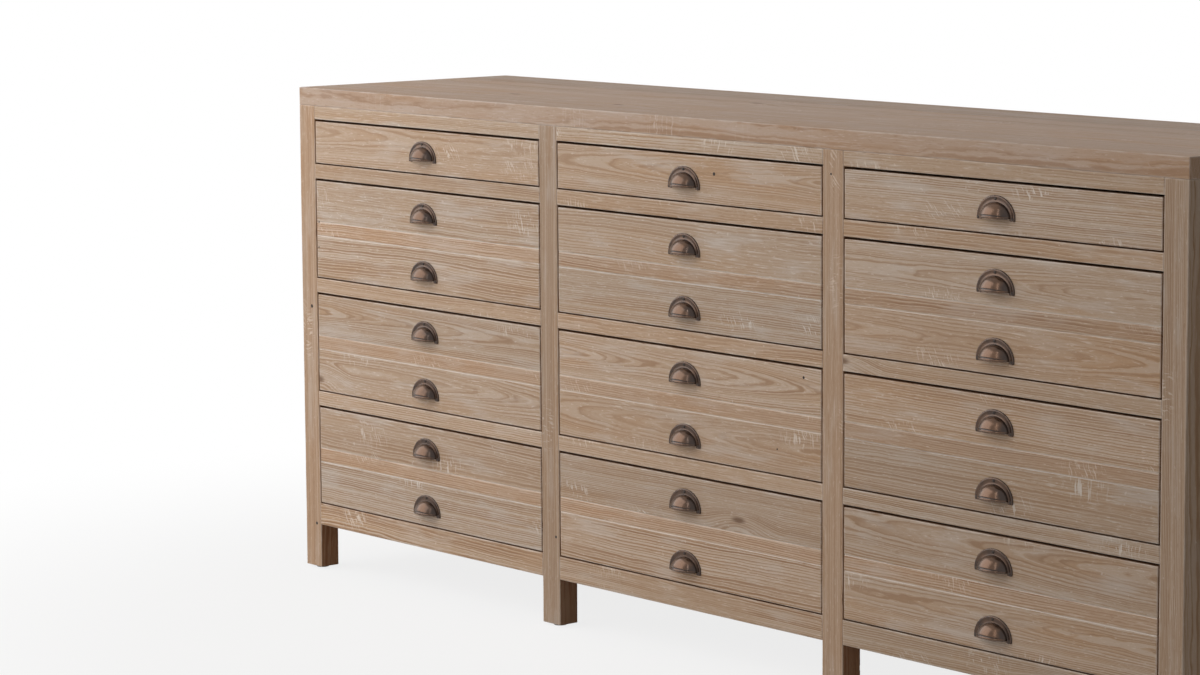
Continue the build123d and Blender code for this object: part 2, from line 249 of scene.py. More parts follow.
# Rings of the bowl from its root to its lip, in degrees, and those that lie in its groove
BOWL_TURNS = (0, 9, 18, 27, 36, 45, 54, 63, 70, 74.5, 76, 77.5, 80, 81.5, 86, 90)
GROOVE_TURNS = (77.5, 80)
GROOVE_DEPTH = 0.7 * MM
# Across the flange, from the bowl to its outer edge: shares of the way and of the flange's height
FLANGE_SHARES = ((0, 0), (0, 1.25), (0.1, 1), (0.62, 0.94), (0.76, 1.18), (0.9, 1.12), (1, 0.7), (1, 0))
# Up an ear from its tip: shares of its drop, taken off each side, and of the flange's height
EAR_ROWS = ((1, 0.3, 0.55), (0.92, 0.12, 1), (0.7, 0.03, 1), (0.35, 0, 1))
# How rubbed the bronze is: the bowl's root, what its lip adds, its groove, the bead and the flange
ROOT_WEAR = 0.6
LIP_WEAR = 0.4
GROOVE_WEAR = -1.6
BEAD_WEAR = 0.7
FLANGE_WEAR = 0.6

# Screw and nail heads: profiles from rim to crown, as shares of radius and height
HEAD_SIDES = 20
SCREW_RADIUS = 2.7 * MM
SCREW_CROWN = 1.1 * MM
SCREW_PROFILE = ((1, 0), (1, 0.35), (0.85, 0.72), (0.5, 0.95), (0.02, 1))
MARK_CROWN = 0.3 * MM
MARK_PROFILE = ((1, -1), (1, 0.1), (0.8, 0.6), (0.45, 0.9), (0.05, 1))
# Where screws sit: share of the flange's height, and how far the ears' ones lie under the rim
SCREW_SEAT = 0.9
SCREW_DROP = 0.5 * MM
# A screw's slot: its width, places as shares of the radius, heights as shares of the crown
SLOT_WIDTH = 0.7 * MM
SLOT_PLACES = (-0.86, -0.5, 0.5, 0.86)
SLOT_TOP = 1.04
SLOT_FALL = 0.42
SLOT_BASE = 0.4
# Which of its piece's materials a metal form has: the screws of a pull have the second
MAIN_SLOT = 0
IRON_SLOT = 1

# Nail heads and plugs that the photograph shows: the board under each, its place and radius in mm
MARKS = (
    ("drawer_front_left_second", -1042.8, 663.4, 1.7),
    ("drawer_front_left_second", -1044.1, 616.1, 1.7),
    ("drawer_front_middle_top", 74.9, 824.4, 3),
    ("drawer_front_middle_third", 290.9, 509.7, 2.4),
    ("drawer_front_middle_third", 228, 385.5, 1.6),
    ("front_post_left", -1070.1, 502.2, 3.4),
    ("front_post_left", -1065.8, 86.9, 3),
    ("front_post_mid_left", -344.7, 160.6, 2.6),
    ("front_post_mid_right", 354.3, 842.1, 2),
)

# The floor: how far it reaches, and how it turns white with distance to the camera's rays
FLOOR_REACH = 40
FLOOR_FADE = (1, 2.4, 0.82, 1)

# Light from all round, and the white that the camera sees, in linear light
AMBIENT = 0.21
AMBIENT_COLOUR = (1, 0.935, 0.87, 1)
WHITE = (1, 1, 1, 1)

# Lamps: name, place, what it points at, width and height, watts, and colour
LAMPS = (
    ("key", (-2.6, -2.05, 1.9), (-1.2, -0.1, 0.6), (4, 3.2), 84, (0.985, 0.99, 1)),
    ("overhead", (-0.6, 0.2, 3.2), (-0.5, 0.1, 0.9), (3, 1.8), 2, (1, 0.99, 0.98)),
    ("strip", (0.9, -4.25, 3.4), (-0.2, -0.2, 0.7), (0.11, 4.5), 29, (1, 0.95, 0.89)),
)

# The photograph's camera, fitted to the chest's edges, in pixels of a 1200 by 675 picture
IMAGE_WIDTH = 1200
FOCAL_PIXELS = 3721.29
SENSOR_WIDTH = 36
CAMERA_FROM_CORNER = Vector((5.7367, -4.0376, 0.447))
# Its turn to the left, its tilt down and its roll, in degrees
CAMERA_TURNS = (50.265, 7.54, -0.387)
CLIP_END = 100


def screen_colour(colour):
    """A colour given as it looks on a screen, in linear light."""
    linear = []
    for value in colour:
        share = value / 255
        linear.append(share / 12.92 if share <= 0.04045 else ((share + 0.055) / 1.055) ** 2.4)
    return (*linear, 1.0)


class Graph:
    """The nodes of a material or a world, with short calls to make them."""

    def __init__(self, owner):
        self.owner = owner
        owner.use_nodes = True
        self.tree = owner.node_tree
        self.tree.nodes.clear()

    def feed(self, socket, value):
        """Link a socket to another one, or set its value."""
        if isinstance(value, bpy.types.NodeSocket):
            self.tree.links.new(value, socket)
        else:
            socket.default_value = value

    def node(self, kind, inputs=(), **settings):
        """A shader node, with its settings and inputs."""
        made = self.tree.nodes.new(f"ShaderNode{kind}")
        for key, value in settings.items():
            setattr(made, key, value)
        for key, value in dict(inputs).items():
            self.feed(made.inputs[key], value)
        return made

    def math(self, operation, a, b=0.0, c=0.0):
        return self.node("Math", {0: a, 1: b, 2: c}, operation=operation).outputs[0]

    def product(self, first, *others):
        for other in others:
            first = self.math("MULTIPLY", first, other)
        return first

    def noise(self, vector, scales, detail):
        """Noise that repeats a number of times in a metre, along each axis."""
        place = self.node("VectorMath", {0: vector, 1: scales}, operation="MULTIPLY").outputs[0]
        return self.plain_noise(place, detail)

    def plain_noise(self, vector, detail):
        return self.node("TexNoise", {"Vector": vector, "Scale": 1.0, "Detail": detail}).outputs[0]

    def step(self, value, low, high, to_low=0.0, to_high=1.0):
        """A smooth ramp from one value to another."""
        inputs = {"Value": value, "From Min": low, "From Max": high, "To Min": to_low, "To Max": to_high}
        return self.node("MapRange", inputs, interpolation_type="SMOOTHSTEP").outputs[0]

    def mix(self, factor, a, b, blend="MIX"):
        made = self.node("Mix", data_type="RGBA", blend_type=blend)
        for index, value in ((0, factor), (6, a), (7, b)):
            self.feed(made.inputs[index], value)
        return made.outputs[2]

    def cover(self, share, colour, paint):
        """A colour, with a share of it covered by a paint."""
        return self.mix(share, colour, screen_colour(paint))

    def attribute(self, name, output):
        return self.node("Attribute", attribute_name=name).outputs[output]

    def object_place(self):
        return self.node("TexCoord").outputs["Object"]

    def object_noise(self, repeats, detail):
        return self.noise(self.object_place(), (repeats, repeats, repeats), detail)

    def bump(self, strength, distance, height):
        inputs = {"Strength": strength, "Distance": distance, "Height": height}
        return self.node("Bump", inputs).outputs[0]

    def seen_rays(self):
        """One for rays that come from the camera, from polished metal or through glass."""
        path = self.node("LightPath")
        seen = path.outputs["Is Camera Ray"]
        for ray in ("Is Glossy Ray", "Is Transmission Ray"):
            seen = self.math("MAXIMUM", seen, path.outputs[ray])
        return seen

    def shader_mix(self, share, first, second):
        return self.node("MixShader", {0: share, 1: first.outputs[0], 2: second.outputs[0]})

    def finish(self, shader, output="OutputMaterial"):
        self.node(output, {"Surface": shader.outputs[0]})
        return self.owner


class Pine(Graph):
    """The nodes of brushed softwood, drawn in each board's own grain coordinates."""

    def __init__(self, name, lime_share, ring_strength):
        super().__init__(bpy.data.materials.new(name))
        self.lime_share = lime_share
        self.ring_strength = ring_strength
        self.grain = self.attribute("grain", "Vector")
        self.along, self.across, self.deep = self.node("SeparateXYZ", {0: self.grain}).outputs
        self.fibre = self.pattern(*FIBRE)
        self.dash = self.pattern(*DASH)
        self.patch = self.pattern(*PATCH)
        self.cloud = self.pattern(*CLOUD)

    def pattern(self, along, across, detail):
        return self.noise(self.grain, (along, across, across), detail)

    def cells(self, long_scale, wide_scale):
        """Cells on a board's face: distance to a cell's middle, and two random values of the cell."""
        x = self.product(self.along, long_scale)
        y = self.product(self.across, wide_scale)
        flat = self.node("CombineXYZ", {0: x, 1: y}).outputs[0]
        made = self.node("TexVoronoi", {"Vector": flat, "Scale": 1.0}, voronoi_dimensions="2D")
        channels = self.node("SeparateColor", {0: made.outputs["Color"]}).outputs
        return made.outputs["Distance"], channels[0], channels[1]

    def knots(self):
        """The stain of knots and their push on the rings. Only some cells hold a knot."""
        distance, draw, _ = self.cells(*KNOT_CELLS)
        held = self.math("GREATER_THAN", draw, KNOT_DRAW)
        stain = self.product(held, self.step(distance, *KNOT_STAIN))
        push = self.product(held, self.step(distance, *KNOT_PUSH))
        return stain, push

    def rings(self, push):
        """Early and late wood in growth rings round the middle of the tree, swayed along the board."""
        squares = [self.math("POWER", side, 2.0) for side in (self.across, self.deep)]
        radius = self.math("SQRT", self.math("ADD", *squares))
        for pattern, reach in ((SWAY, RING_SWAY), (WAVER, RING_WAVER)):
            aside = self.math("SUBTRACT", self.pattern(*pattern), 0.5)
            radius = self.math("MULTIPLY_ADD", aside, reach, radius)
        radius = self.math("ADD", radius, push)
        place = self.product(radius, DRIFT_SCALE)
        drift = self.node("TexNoise", {"W": place}, noise_dimensions="1D").outputs[0]
        even = self.math("DIVIDE", radius, RING_SPACING)
        ring = self.math("FRACT", self.math("MULTIPLY_ADD", drift, RING_DRIFT, even))
        strength = self.product(self.attribute("figure", "Fac"), self.step(self.patch, *FIGURE_PATCHES))
        amounts = []
        for rise, fall in ((EARLY_RISE, EARLY_FALL), (LATE_RISE, LATE_FALL)):
            wood = self.math("SUBTRACT", self.step(ring, *rise), self.step(ring, *fall))
            amounts.append(self.product(wood, strength, self.ring_strength))
        return amounts

    def bare_wood(self, early, late):
        """The wood's own colour."""
        blotch = self.step(self.pattern(*BLOTCH), *TAN_BLOTCHES)
        colour = self.cover(blotch, screen_colour(MID_WOOD), TAN_PATCH)
        colour = self.cover(self.product(early, EARLY_COVER), colour, EARLY_WOOD)
        colour = self.cover(self.product(late, LATE_COVER), colour, LATE_WOOD)
        return self.cover(self.step(self.dash, *DARK_DASHES), colour, LATE_WOOD)

    def lime_in_grain(self, colour, late):
        """Lime in the fibres, but not on late wood, and a haze over them."""
        limed = self.product(self.step(self.fibre, *LIMED_FIBRES), self.step(self.patch, *LIMED_PATCHES))
        limed = self.math("MAXIMUM", limed, self.step(self.dash, *LIMED_DASHES))
        limed = self.product(limed, self.math("SUBTRACT", 1.0, late), self.lime_share)
        colour = self.cover(limed, colour, LIME)
        haze = self.product(self.step(self.cloud, *HAZY_CLOUDS), self.step(self.fibre, *HAZY_FIBRES))
        return self.cover(self.product(haze, HAZE_COVER * self.lime_share), colour, HAZE)

    def scratches(self):
        """Groups of short leaning strokes. Only some cells hold a group."""
        distance, draw, turn = self.cells(*SCRATCH_CELLS)
        lean = self.product(self.math("SUBTRACT", turn, UPRIGHT_DRAW), STROKE_LEAN)
        slant = self.math("MULTIPLY_ADD", self.along, STROKES_ALONG, self.product(self.across, lean))
        bent = self.math("MULTIPLY_ADD", self.pattern(*BEND), STROKE_BEND, slant)
        aside = self.product(self.across, STROKES_ACROSS)
        strokes = self.node("CombineXYZ", {0: bent, 1: aside}).outputs[0]
        lines = self.step(self.plain_noise(strokes, 1.0), *STROKE_LINES)
        held = self.math("GREATER_THAN", draw, SCRATCH_DRAW)
        group = self.product(held, self.step(distance, *SCRATCH_FADE))
        broken = self.step(self.pattern(*BREAK), *STROKE_BREAKS)
        return self.product(lines, group, broken)

    def lime_marks(self, colour):
        """Scratches and specks that are filled with lime."""
        specks = self.step(self.pattern(*SPECK), *SPECKS)
        specks = self.product(specks, self.step(self.cloud, *SPECKED_CLOUDS))
        marks = self.math("MAXIMUM", self.scratches(), self.product(specks, SPECK_COVER))
        return self.cover(self.product(marks, MARK_COVER * self.lime_share), colour, LIME)

    def lime_on_edges(self, colour):
        """Lime that is rubbed onto worn edges, and that fills the joints."""
        wear = self.attribute("wear", "Fac")
        worn_places = self.step(self.pattern(*WORN), *WORN_PLACES)
        rubbed = self.math("POWER", self.math("MINIMUM", wear, 1.0), RUB_POWER)
        colour = self.cover(self.product(rubbed, worn_places, WORN_COVER), colour, LIME)
        filled_places = self.step(self.pattern(*FILL), *FILLED_PLACES)
        return self.cover(self.product(self.step(wear, *FILLED_WEAR), filled_places), colour, LIME)

    def board_tone(self, colour):
        """The board's own tint, and the darker tone of its inner faces: partly unlimed wood, partly
        painted shade.
        """
        colour = self.mix(1.0, colour, self.attribute("tint", "Color"), "MULTIPLY")
        # Painted shade on the faces that are not shown, partly as unlimed wood
        inner = self.mix(1.0, colour, (*UNLIMED_AND_SHADED_TONE, 1.0), "MULTIPLY")
        return self.mix(self.attribute("shade", "Fac"), colour, inner)


def limed_pine(name, lime_share, ring_strength):
    """Brushed softwood with lime left in its grain."""
    pine = Pine(name, lime_share, ring_strength)
    knot_stain, knot_push = pine.knots()
    early, late = pine.rings(knot_push)
    colour = pine.bare_wood(early, late)
    colour = pine.lime_in_grain(colour, late)
    colour = pine.lime_marks(colour)
    colour = pine.lime_on_edges(colour)
    colour = pine.cover(knot_stain, colour, KNOT_BROWN)
    colour = pine.board_tone(colour)
    height = pine.math("ADD", pine.product(late, LATE_HEIGHT), pine.product(pine.fibre, FIBRE_HEIGHT))
    inputs = {
        "Base Color": colour,
        "Roughness": pine.step(pine.fibre, *FIBRE_ROUGHNESS),
        "Specular IOR Level": 0.16,
        "Normal": pine.bump(strength=0.35, distance=0.5 * MM, height=height),
    }
    return pine.finish(pine.node("BsdfPrincipled", inputs))


def worn_bronze(name):
    """Dark bronze, rubbed to copper where hands reach it."""
    g = Graph(bpy.data.materials.new(name))
    cloud = g.object_noise(*BRONZE_CLOUD)
    specks = g.object_noise(*BRONZE_SPECK)
    uneven = g.product(g.math("SUBTRACT", cloud, 0.5), CLOUD_WEAR)
    rubbed = g.step(g.math("ADD", g.attribute("wear", "Fac"), uneven), *RUBBED_WEAR)
    rubbed = g.product(rubbed, g.step(specks, *RUBBED_SPECKS))
    inputs = {
        "Base Color": g.cover(rubbed, screen_colour(BRONZE_DARK), BRONZE_COPPER),
        "Metallic": 0.6,
        "Roughness": g.step(cloud, *BRONZE_ROUGHNESS),
        "Normal": g.bump(strength=0.12, distance=0.2 * MM, height=specks),
    }
    return g.finish(g.node("BsdfPrincipled", inputs))


def speckled(name, colour, other, roughness, metallic):
    """A plain small part: one colour, mottled with another."""
    g = Graph(bpy.data.materials.new(name))
    mottle = g.object_noise(*MOTTLE)
    inputs = {
        "Base Color": g.cover(g.step(mottle, *MOTTLE_RAMP), screen_colour(colour), other),
        "Roughness": roughness,
        "Metallic": metallic,
        "Normal": g.bump(strength=0.2, distance=0.2 * MM, height=mottle),
    }
    return g.finish(g.node("BsdfPrincipled", inputs))


class WoodMesh:
    """Boards gathered into one mesh, each with its own grain coordinates, tint and worn edges."""

    def __init__(self, node):
        self.node = node
        self.name = f"{node}_timber"
        self.points = []
        self.faces = []
        self.values = {"grain": [], "tint": [], "figure": [], "wear": [], "shade": []}

    def look(self, key, kind, grain_axis, flat_axis, centre, tone=PLAIN_TONE):
        """A rule that gives the grain coordinates of a point, and the board's tint and figure."""
        draw = random.Random(f"{self.name} {key}")
        flame = kind == "flame"
        side_axis = 3 - grain_axis - flat_axis
        start = draw.uniform(*START_RANGE)
        turn = draw.choice((-1, 1))
        if flame:
            side = draw.uniform(-FLAME_SIDE, FLAME_SIDE)
            depth = draw.uniform(*FLAME_DEPTH)
            lean = draw.uniform(*FLAME_LEAN) * turn
        else:
            side = draw.uniform(*STRAIGHT_SIDE) * turn
            depth = draw.uniform(*STRAIGHT_DEPTH)
            lean = draw.uniform(*STRAIGHT_LEAN)
        value = draw.uniform(*VALUE_RANGE)
        warmth = draw.uniform(*WARMTH_RANGE)
        tint = (value * (1 + warmth) * tone[0], value * tone[1], value * (1 - warmth) * tone[2], 1.0)
        figure = draw.uniform(*(FLAME_FIGURE if flame else STRAIGHT_FIGURE))
        growth = draw.uniform(*GROWTH_RANGE)

        def coordinates(point):
            run = point[grain_axis] - centre[grain_axis]
            across = point[side_axis] - centre[side_axis] - side
            deep = point[flat_axis] - centre[flat_axis] - depth - lean * run
            return (run + start, across * growth, deep * growth)

        return coordinates, tint, figure

    def add_point(self, point, look, wear, shade):
        coordinates, tint, figure = look
        self.points.append(point)
        added = (coordinates(point), tint, (figure,), (wear,), (shade,))
        for values, value in zip(self.values.values(), added):
            values.append(value)

    def board(self, key, box, axes, shown, kind="straight", chips=FEW_CHIPS, tone=PLAIN_TONE, joints=()):
        """One board, with worn edges and a few chips.

        The axes are those of its grain and of its thickness. A side is an axis and an end, 0 or 1: the
        shown sides are limed, the others get painted shade and the unlimed tone, and the joints are glued
        to the next board.
        """
        low, high = box
        grain_axis, flat_axis = axes
        draw = random.Random(f"{self.name} {key} edges")
        look = self.look(key, kind, grain_axis, flat_axis, (low + high) / 2, tone)
        chip_list = []
        for _ in range(chips):
            place = draw.uniform(low[grain_axis], high[grain_axis])
            sides = (draw.choice((0, 1)), draw.choice((0, 1)))
            reach = draw.uniform(*CHIP_REACH) * MM
            depth = draw.uniform(*CHIP_DEPTH) * MM
            chip_list.append((place, sides, reach, depth))
        lines = board_lines(box, grain_axis, chip_list)
        shift = Vector([draw.uniform(*RIPPLE_SHIFT) for _ in range(3)])
        index = {}
        for key_point in surface_keys(lines):
            point = Vector([lines[axis][key_point[axis]] for axis in range(3)])
            gaps = sorted(min(point[axis] - low[axis], high[axis] - point[axis]) for axis in range(3))
            wear = max(0.0, 1 - gaps[1] / EDGE_BAND)
            # Painted shade: points away from the shown sides get the darker inner tone
            shade = min(side_distance(point, box, side) for side in shown)
            shade = min(1.0, max(0.0, (shade - SHADE_START) / SHADE_BAND))
            if any(side_distance(point, box, side) < JOINT_BAND for side in joints):
                wear = JOINT_WEAR
            ends = [axis for axis in range(3) if key_point[axis] in (0, len(lines[axis]) - 1)]
            if len(ends) > 1:
                depth = edge_depth(point, shift) + chip_depth(point, box, grain_axis, chip_list)
                for axis in ends:
                    point[axis] += depth if key_point[axis] == 0 else -depth
            index[key_point] = len(self.points)
            self.add_point(point, look, wear, shade)
        self.faces += surface_faces(lines, index)

    def shape(self, key):
        """The CAD node's own solids, each of which is given grain along its longest side."""
        work = clean_solids(self.node)
        for number, faces in enumerate(islands_of(work)):
            low, high = faces_box(faces)
            spans = [(high[axis] - low[axis], axis) for axis in range(3)]
            look = self.look(f"{key} {number}", "straight", max(spans)[1], min(spans)[1], (low + high) / 2)
            index = {}
            for face in faces:
                for vert in face.verts:
                    if vert not in index:
                        index[vert] = len(self.points)
                        self.add_point(vert.co.copy(), look, 0.0, 0.0)
                self.faces.append([index[vert] for vert in face.verts])
        work.free()

    def settle(self, material, slot, body="carcass"):
        """Make the piece, which stands for its CAD node."""
        mesh = bpy.data.meshes.new(self.name)
        mesh.from_pydata([tuple(point) for point in self.points], [], self.faces)
        for name, values in self.values.items():
            write_attribute(mesh, name, values)
        settle(finished_object(mesh, [material], WOOD_SHARP), body, slot, self.node)


def side_distance(point, box, side):
    """How far a point of a board lies from one of its sides."""
    axis, end = side
    return abs(point[axis] - box[end][axis])


def board_lines(box, grain_axis, chip_list):
    """Where the cross-lines of a board's mesh lie along its three axes."""
    low, high = box
    lines = []
    for axis in range(3):
        step = ACROSS_STEP
        extra = []
        if axis == grain_axis:
            step = LONG_STEP
            for place, _, reach, _ in chip_list:
                extra += [place - reach, place - reach / 2, place, place + reach / 2, place + reach]
        lines.append(stations(low[axis], high[axis], step, extra))
    return lines


def stations(low, high, step, extra):
    """Where cross-lines lie along one axis: near both ends, at even steps, and at extra places."""
    places = [low, low + EDGE_ROUND, low + 2 * EDGE_ROUND, high - 2 * EDGE_ROUND, high - EDGE_ROUND, high]
    if high - low > 3 * EDGE_BAND:
        places += [low + EDGE_BAND, high - EDGE_BAND]
        count = max(1, round((high - low) / step))
        places += [low + (high - low) * number / count for number in range(1, count)]
    places += [place for place in extra if low + CHIP_ROOM < place < high - CHIP_ROOM]
    places.sort()
    kept = [places[0]]
    for place in places[1:]:
        if place - kept[-1] > LEAST_STEP:
            kept.append(place)
    kept[-1] = high
    return kept


def surface_keys(lines):
    """The grid points that lie on the outside of a board."""
    last = [len(line) - 1 for line in lines]
    grid = itertools.product(*[range(end + 1) for end in last])
    return [key for key in grid if any(place in (0, end) for place, end in zip(key, last))]


def surface_faces(lines, index):
    """The quads on the six sides of a board's grid."""
    counts = [len(line) - 1 for line in lines]
    faces = []
    for axis in range(3):
        first, second = (axis + 1) % 3, (axis + 2) % 3
        for end in (0, counts[axis]):
            for a, b in itertools.product(range(counts[first]), range(counts[second])):
                corners = []
                for da, db in ((0, 0), (1, 0), (1, 1), (0, 1)):
                    key = {axis: end, first: a + da, second: b + db}
                    corners.append(index[key[0], key[1], key[2]])
                faces.append(corners if end else corners[::-1])
    return faces


def edge_depth(point, shift):
    """How deep an edge is broken at a point, by its rounding and its ripples."""
    ripple = noise.noise(point * RIPPLE_SCALE + shift)
    ripple += FINE_RIPPLE * noise.noise(point * FINE_RIPPLE_SCALE + shift)
    return EDGE_ROUND * (EDGE_BREAK + RIPPLE_BREAK * ripple)


def chip_depth(point, box, grain_axis, chip_list):
    """How much deeper the edge is broken at a point by the chips near it."""
    cross_axes = [axis for axis in range(3) if axis != grain_axis]
    depth = 0.0
    for place, ends, reach, amount in chip_list:
        distance = abs(point[grain_axis] - place) / reach
        near = all(side_distance(point, box, side) < CHIP_BAND for side in zip(cross_axes, ends))
        if near and distance < 1:
            depth += amount * (1 - distance ** 2)
    return depth


def write_attribute(mesh, name, values):
    """Give a mesh one value at each point, with one, three or four numbers."""
    kind, field = ATTRIBUTE_KINDS[len(values[0])]
    attribute = mesh.attributes.new(name, kind, "POINT")
    flat = [number for value in values for number in value]
    attribute.data.foreach_set(field, flat)


def finished_object(mesh, materials, sharp_degrees):
    """An object for a mesh, with outward faces and soft shading across small angles."""
    work = bmesh.new()
    work.from_mesh(mesh)
    bmesh.ops.recalc_face_normals(work, faces=work.faces)
    work.to_mesh(mesh)
    work.free()
    for polygon in mesh.polygons:
        polygon.use_smooth = True
    mesh.set_sharp_from_angle(angle=math.radians(sharp_degrees))
    for material in materials:
        mesh.materials.append(material)
    return placed(mesh.name, mesh)


def placed(name, data):
    """A new object in the scene, for a mesh, a lamp or a camera."""
    made = bpy.data.objects.new(name, data)
    bpy.context.scene.collection.objects.link(made)
    return made


def clean_solids(node):
    """A CAD node's solids as flat faces, without the cuts between triangles."""
    work = bmesh.new()
    work.from_mesh(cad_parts[node].data)
    bmesh.ops.remove_doubles(work, verts=work.verts, dist=JOIN_DISTANCE)
    flat = math.radians(FLAT_DEGREES)
    bmesh.ops.dissolve_limit(work, angle_limit=flat, verts=work.verts, edges=work.edges)
    return work


def islands_of(work):
    """The faces of each separate solid. Solids that touch share edges, which have more than two faces."""
    work.faces.ensure_lookup_table()
    seen = set()
    islands = []
    for first in work.faces:
        island = []
        waiting = [first]
        while waiting:
            face = waiting.pop()
            if face in seen:
                continue
            seen.add(face)
            island.append(face)
            for link in face.edges:
                if len(link.link_faces) == 2:
                    waiting += link.link_faces
        if len(island) > 2:
            islands.append(sorted(island, key=lambda one: one.index))
    return islands


def faces_box(faces):
    """The lowest and highest corners of some faces."""
    points = [vert.co for face in faces for vert in face.verts]
    low = Vector([min(point[axis] for point in points) for axis in range(3)])
    high = Vector([max(point[axis] for point in points) for axis in range(3)])
    return low, high


def island_boxes(node):
    """The box round each solid of a CAD node."""
    work = clean_solids(node)
    boxes = [faces_box(faces) for faces in islands_of(work)]
    work.free()
    return boxes


def settle(piece, body, slot, *nodes):
    """Fix a piece to its body, and let it stand for its CAD nodes."""
    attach(piece, body)
    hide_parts(*nodes)


def make_posts(pine):
    """The posts, which are also the legs. Those at the ends show an outer side."""
    posts = {"front": {}, "back": {}}
    for row, face in (("front", FRONT), ("back", BACK)):
        for name in POST_NAMES:
            node = f"{row}_post_{name}"
            posts[row][name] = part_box(node)
            shown = [face] + {"left": [LEFT], "right": [RIGHT]}.get(name, [])
            wood = WoodMesh(node)
            wood.board("post", posts[row][name], (2, 1), shown, chips=POST_CHIPS, tone=POST_TONE)
            wood.settle(pine, "frame_wood")
    return posts


def make_top(pine):
    """The planks of the top."""
    wood = WoodMesh("top_planks")
    shown = [LEFT, RIGHT, FRONT, BACK, OVER]
    for number, box in enumerate(island_boxes(wood.node)):
        wood.board(f"plank {number}", box, (0, 2), shown, chips=TOP_CHIPS, tone=TOP_TONE)
    wood.settle(pine, "top_wood")


def between_posts(box, posts, axis):
    """A rail's box, cut along an axis to what shows between the posts at its two ends."""
    low, high = box[0].copy(), box[1].copy()
    centre = (low[axis] + high[axis]) / 2
    low[axis] = max(post[1][axis] for post in posts if post[1][axis] < centre)
    high[axis] = min(post[0][axis] for post in posts if post[0][axis] > centre)
    return low, high


def make_rails(posts, pine):
    """The rails at the front, back and ends."""
    for node, row, face in (
        ("top_rails", "front", FRONT),
        ("divider_rails", "front", FRONT),
        ("bottom_rails", "front", FRONT),
        ("back_rails", "back", BACK),
    ):
        wood = WoodMesh(node)
        for number, box in enumerate(island_boxes(node)):
            rail = between_posts(box, posts[row].values(), 0)
            wood.board(f"rail {number}", rail, (0, 1), [face])
        wood.settle(pine, "frame_wood")
    wood = WoodMesh("side_rails")
    for number, box in enumerate(island_boxes(wood.node)):
        rail = between_posts(box, [posts["front"]["left"], posts["back"]["left"]], 1)
        wood.board(f"rail {number}", rail, (1, 0), [LEFT if box[0].x < 0 else RIGHT])
    wood.settle(pine, "frame_wood")


def make_panels(pine, plain):
    """The boards at the ends and the back."""
    for node, axes, face, material, slot in (
        ("left_side_boards", (1, 0), LEFT, pine, "frame_wood"),
        ("right_side_boards", (1, 0), RIGHT, pine, "frame_wood"),
        ("back_boards", (2, 1), BACK, plain, "inner_wood"),
    ):
        wood = WoodMesh(node)
        for number, box in enumerate(island_boxes(node)):
            wood.board(f"board {number}", box, axes, [face])
        wood.settle(material, slot)


def make_inner_works(plain):
    """Partitions, runners, guides, kickers and stops, as the CAD has them."""
    for node in ("partitions", "drawer_runners", "drawer_guides", "top_kickers", "drawer_stops"):
        wood = WoodMesh(node)
        wood.shape("piece")
        wood.settle(plain, "inner_wood")


def make_drawers(pine, plain, bronze, iron):
    """Fronts, boxes and pulls of the twelve drawers."""
    for bay, row in itertools.product(BAY_NAMES, ROW_NAMES):
        place = f"{bay}_{row}"
        body = f"drawer_{place}"
        make_front(place).settle(pine, "drawer_wood", body)
        box = WoodMesh(f"drawer_box_{place}")
        box.shape("box")
        box.settle(plain, "inner_wood", body)
        settle(make_pulls(place, bronze, iron), body, "pull_bronze", f"drawer_pulls_{place}")


def make_front(place):
    """The front of one drawer: one board, or three glued ones with a strip in the middle."""
    kind = "flame" if place in FLAME_DRAWERS else "straight"
    wood = WoodMesh(f"drawer_front_{place}")
    boxes = sorted(island_boxes(wood.node), key=lambda box: box[0].z)
    for number, (low, high) in enumerate(boxes):
        joints = []
        if number > 0:
            joints.append(UNDER)
        else:
            low = low + FOOT_INSET
        if number < len(boxes) - 1:
            joints.append(OVER)
        else:
            high = high - HEAD_INSET
        strip = len(joints) == 2
        wood.board(
            f"board {number}",
            (low + END_INSET, high - END_INSET),
            (0, 1),
            [FRONT],
            kind="straight" if strip else kind,
            tone=STRIP_TONE if strip else FRONT_TONE,
            joints=joints,
        )
    return wood


class MetalMesh:
    """Lofted metal forms gathered into one mesh, with a worn share at each point."""

    def __init__(self):
        self.points = []
        self.faces = []
        self.wear = []
        self.slots = []

    def loft(self, rows, wears=None, slot=MAIN_SLOT):
        """Skin a list of closed rows of points, unworn unless wears are given, and cap the two ends."""
        wears = wears or [[0.0] * len(row) for row in rows]
        start = len(self.points)
        width = len(rows[0])
        for row, row_wear in zip(rows, wears):
            self.points += row
            self.wear += row_wear
        for r in range(len(rows) - 1):
            for c in range(width):
                a = start + r * width + c
                b = start + r * width + (c + 1) % width
                self.faces.append([a, b, b + width, a + width])
                self.slots.append(slot)
        last = start + (len(rows) - 1) * width
        self.faces.append([start + c for c in range(width)][::-1])
        self.faces.append([last + c for c in range(width)])
        self.slots += [slot, slot]

    def head(self, place, radius, crown, profile, slot):
        """A round domed head on the front, given by a profile."""
        rows = []
        for share, lift in profile:
            row = []
            for side in range(HEAD_SIDES):
                angle = math.tau * side / HEAD_SIDES
                spot = Vector((math.cos(angle), 0, math.sin(angle))) * radius * share
                row.append(place + spot + proud(crown * lift))
            rows.append(row)
        self.loft(rows, slot=slot)

    def to_object(self, name, materials):
        mesh = bpy.data.meshes.new(name)
        mesh.from_pydata([tuple(point) for point in self.points], [], self.faces)
        write_attribute(mesh, "wear", [(value,) for value in self.wear])
        mesh.polygons.foreach_set("material_index", self.slots)
        return finished_object(mesh, materials, METAL_SHARP)


def proud(distance):
    """A step straight out of the chest's front."""
    return Vector((0, -distance, 0))


def arch_angle(number, start):
    """The angle of a step round a pull's arch that starts and ends some degrees above the ears."""
    return math.radians(start + (180 - 2 * start) * number / ARCH_STEPS)


